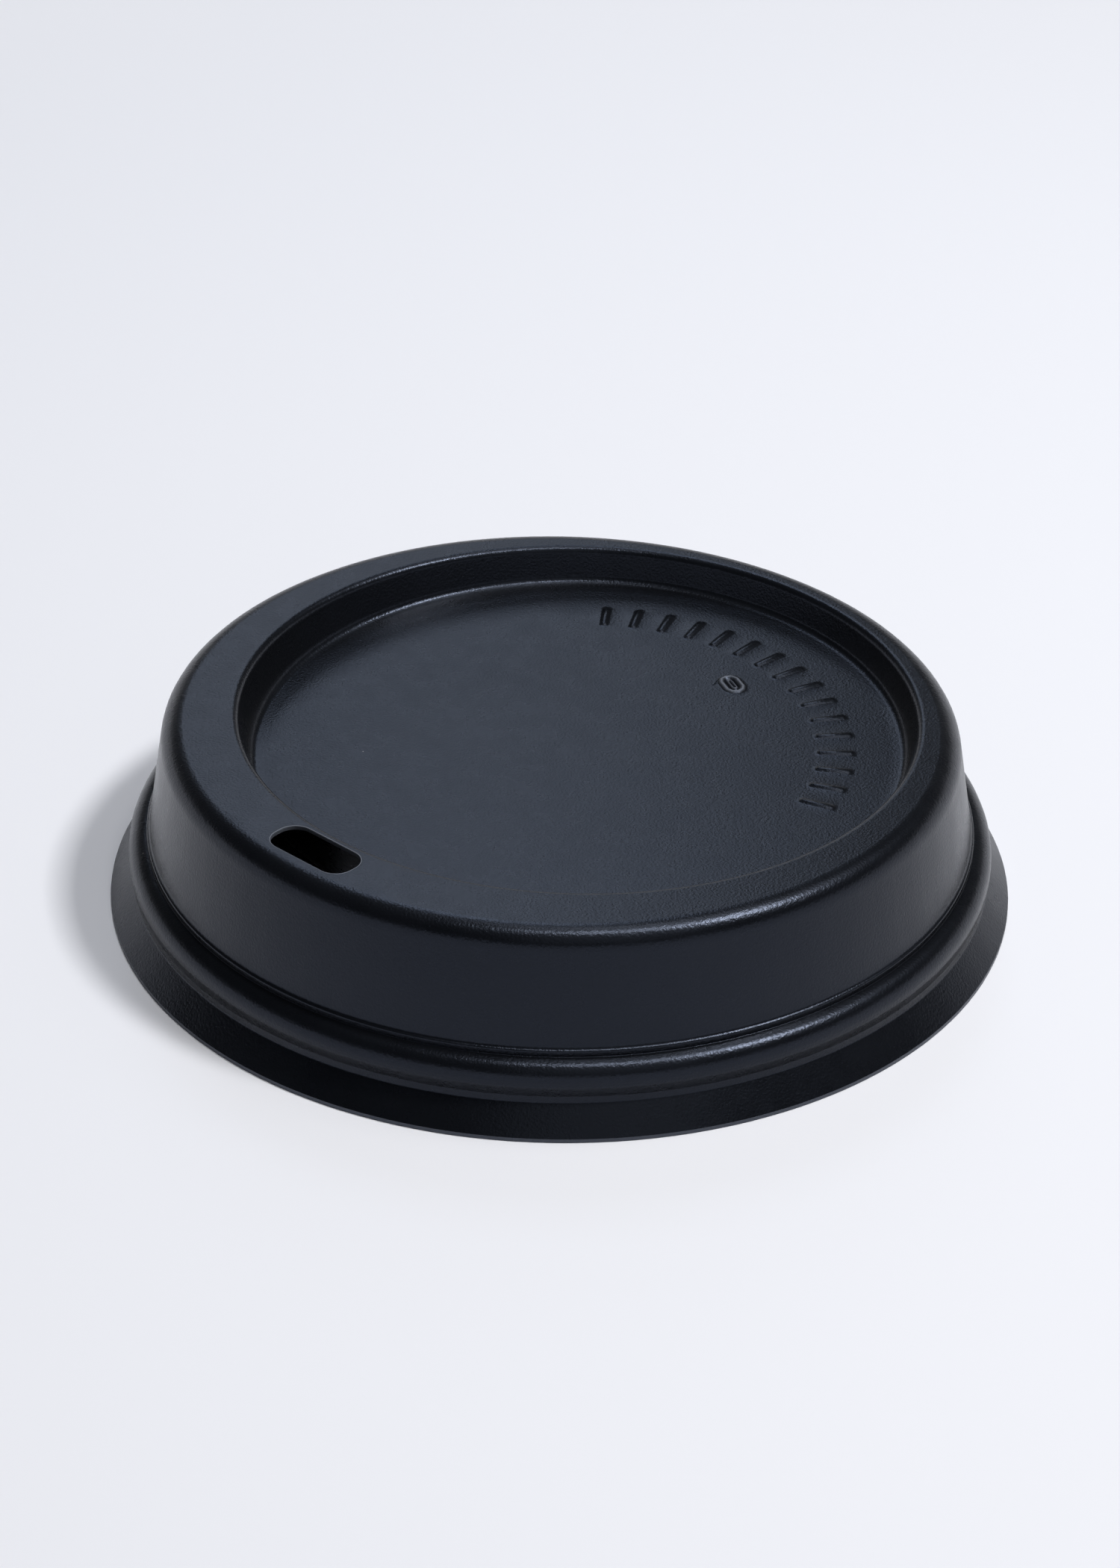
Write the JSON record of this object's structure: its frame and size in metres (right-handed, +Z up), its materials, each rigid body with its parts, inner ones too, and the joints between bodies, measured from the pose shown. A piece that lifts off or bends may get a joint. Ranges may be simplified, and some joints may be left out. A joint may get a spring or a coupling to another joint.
{
  "type": "coffee cup lid",
  "caption": "Round black push-fit lid for a paper coffee cup, with a sloped rim, a sip slot, an off-centre recess and a vent.",
  "frame": {"origin": "on the lid's axis, in the plane that the lip rests on", "axes": "+Z up through the deck, the sip slot on the -Y side"},
  "size_m": [0.095, 0.095, 0.0206],
  "materials": {
    "black_plastic": "satin black polystyrene with a fine moulded grain"
  },
  "bodies": {
    "root": {"lid": "black_plastic"}
  },
  "joints": []
}
